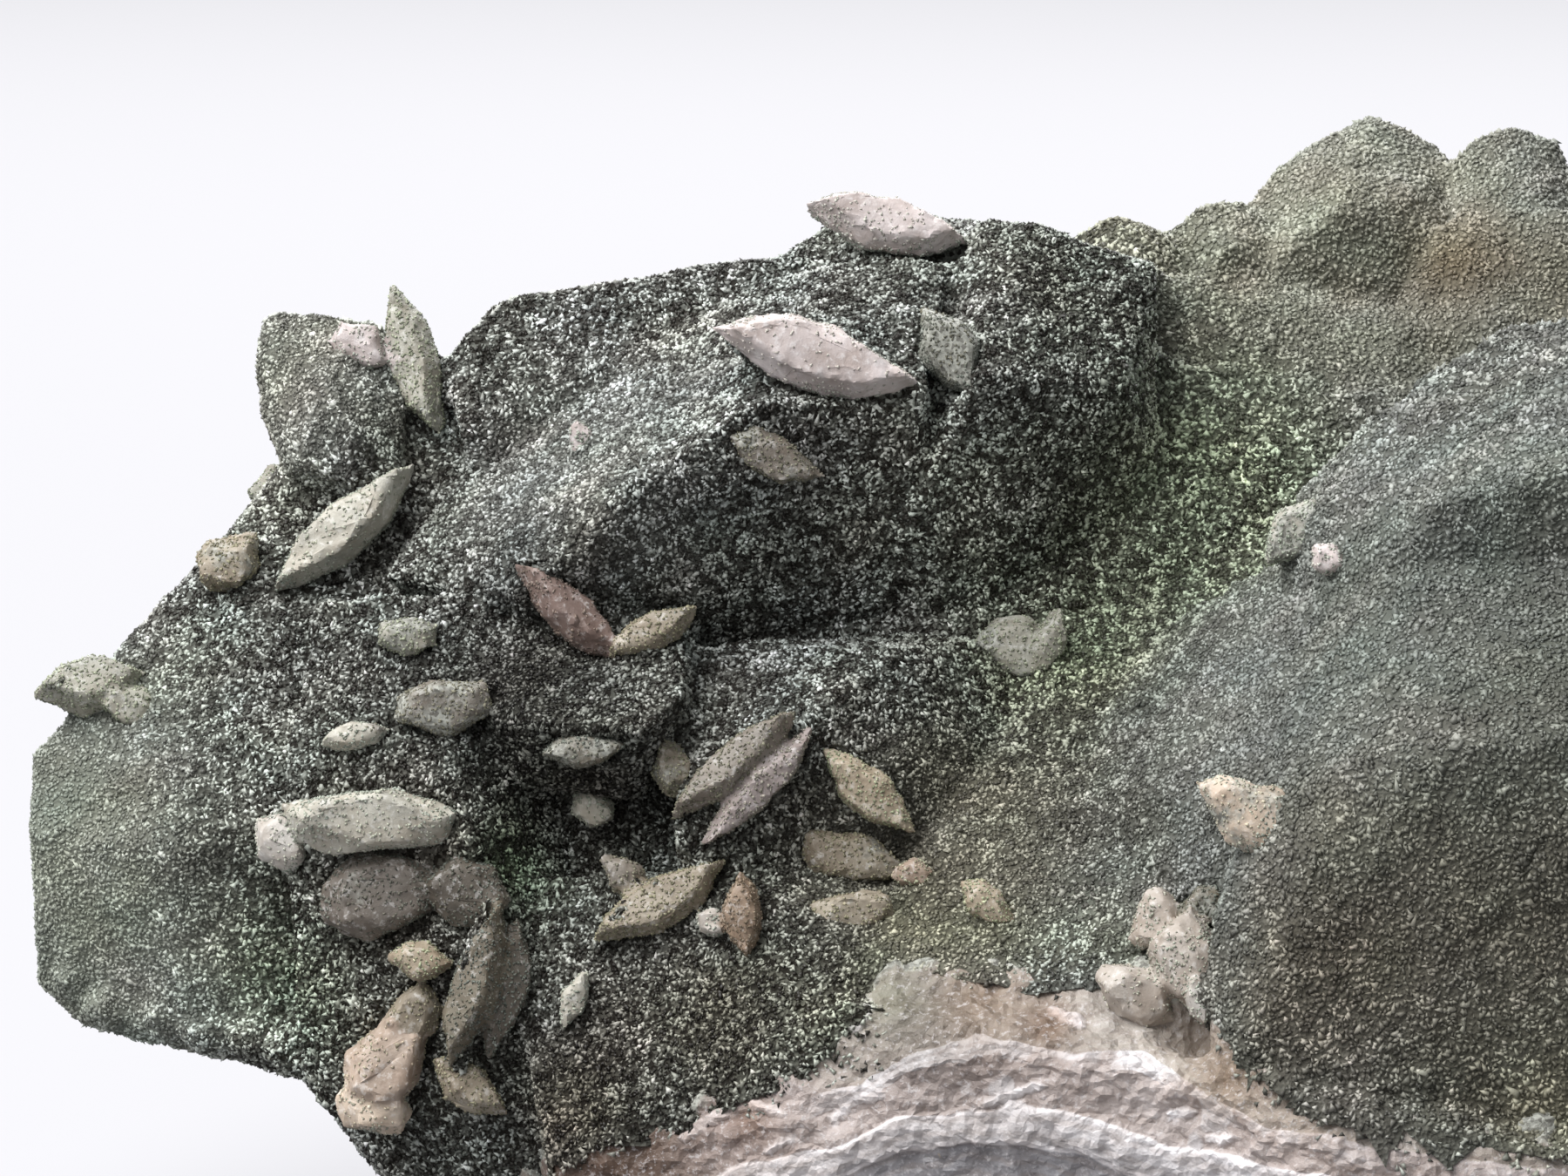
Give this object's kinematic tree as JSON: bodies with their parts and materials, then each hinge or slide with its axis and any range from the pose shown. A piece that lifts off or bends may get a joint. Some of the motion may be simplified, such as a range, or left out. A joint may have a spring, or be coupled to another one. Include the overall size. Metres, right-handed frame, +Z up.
{
  "type": "chlorite coated quartz cluster",
  "caption": "Cluster of stout quartz crystals under a drusy grey-green chlorite coat, with tan wedge-shaped blades and a pale broken rim, cut flat below.",
  "frame": {"origin": "the middle of the flat cut foot, under the middle of the bounding box", "axes": "+Z up from the foot, +X towards the stout right-hand crystals, the view of the picture looks along +Y"},
  "size_m": [0.0584, 0.0424, 0.0324],
  "materials": {
    "chlorite_coat": "drusy grey-green grains with a fine glitter",
    "tan_blades": "waxy tan to pinkish, dusted with chlorite",
    "broken_rim": "broken, layered, mauve to chalky white",
    "quartz_core": "smooth greyish quartz"
  },
  "bodies": {
    "root": {"chlorite_quartz_cluster": "chlorite_coat"}
  },
  "joints": []
}
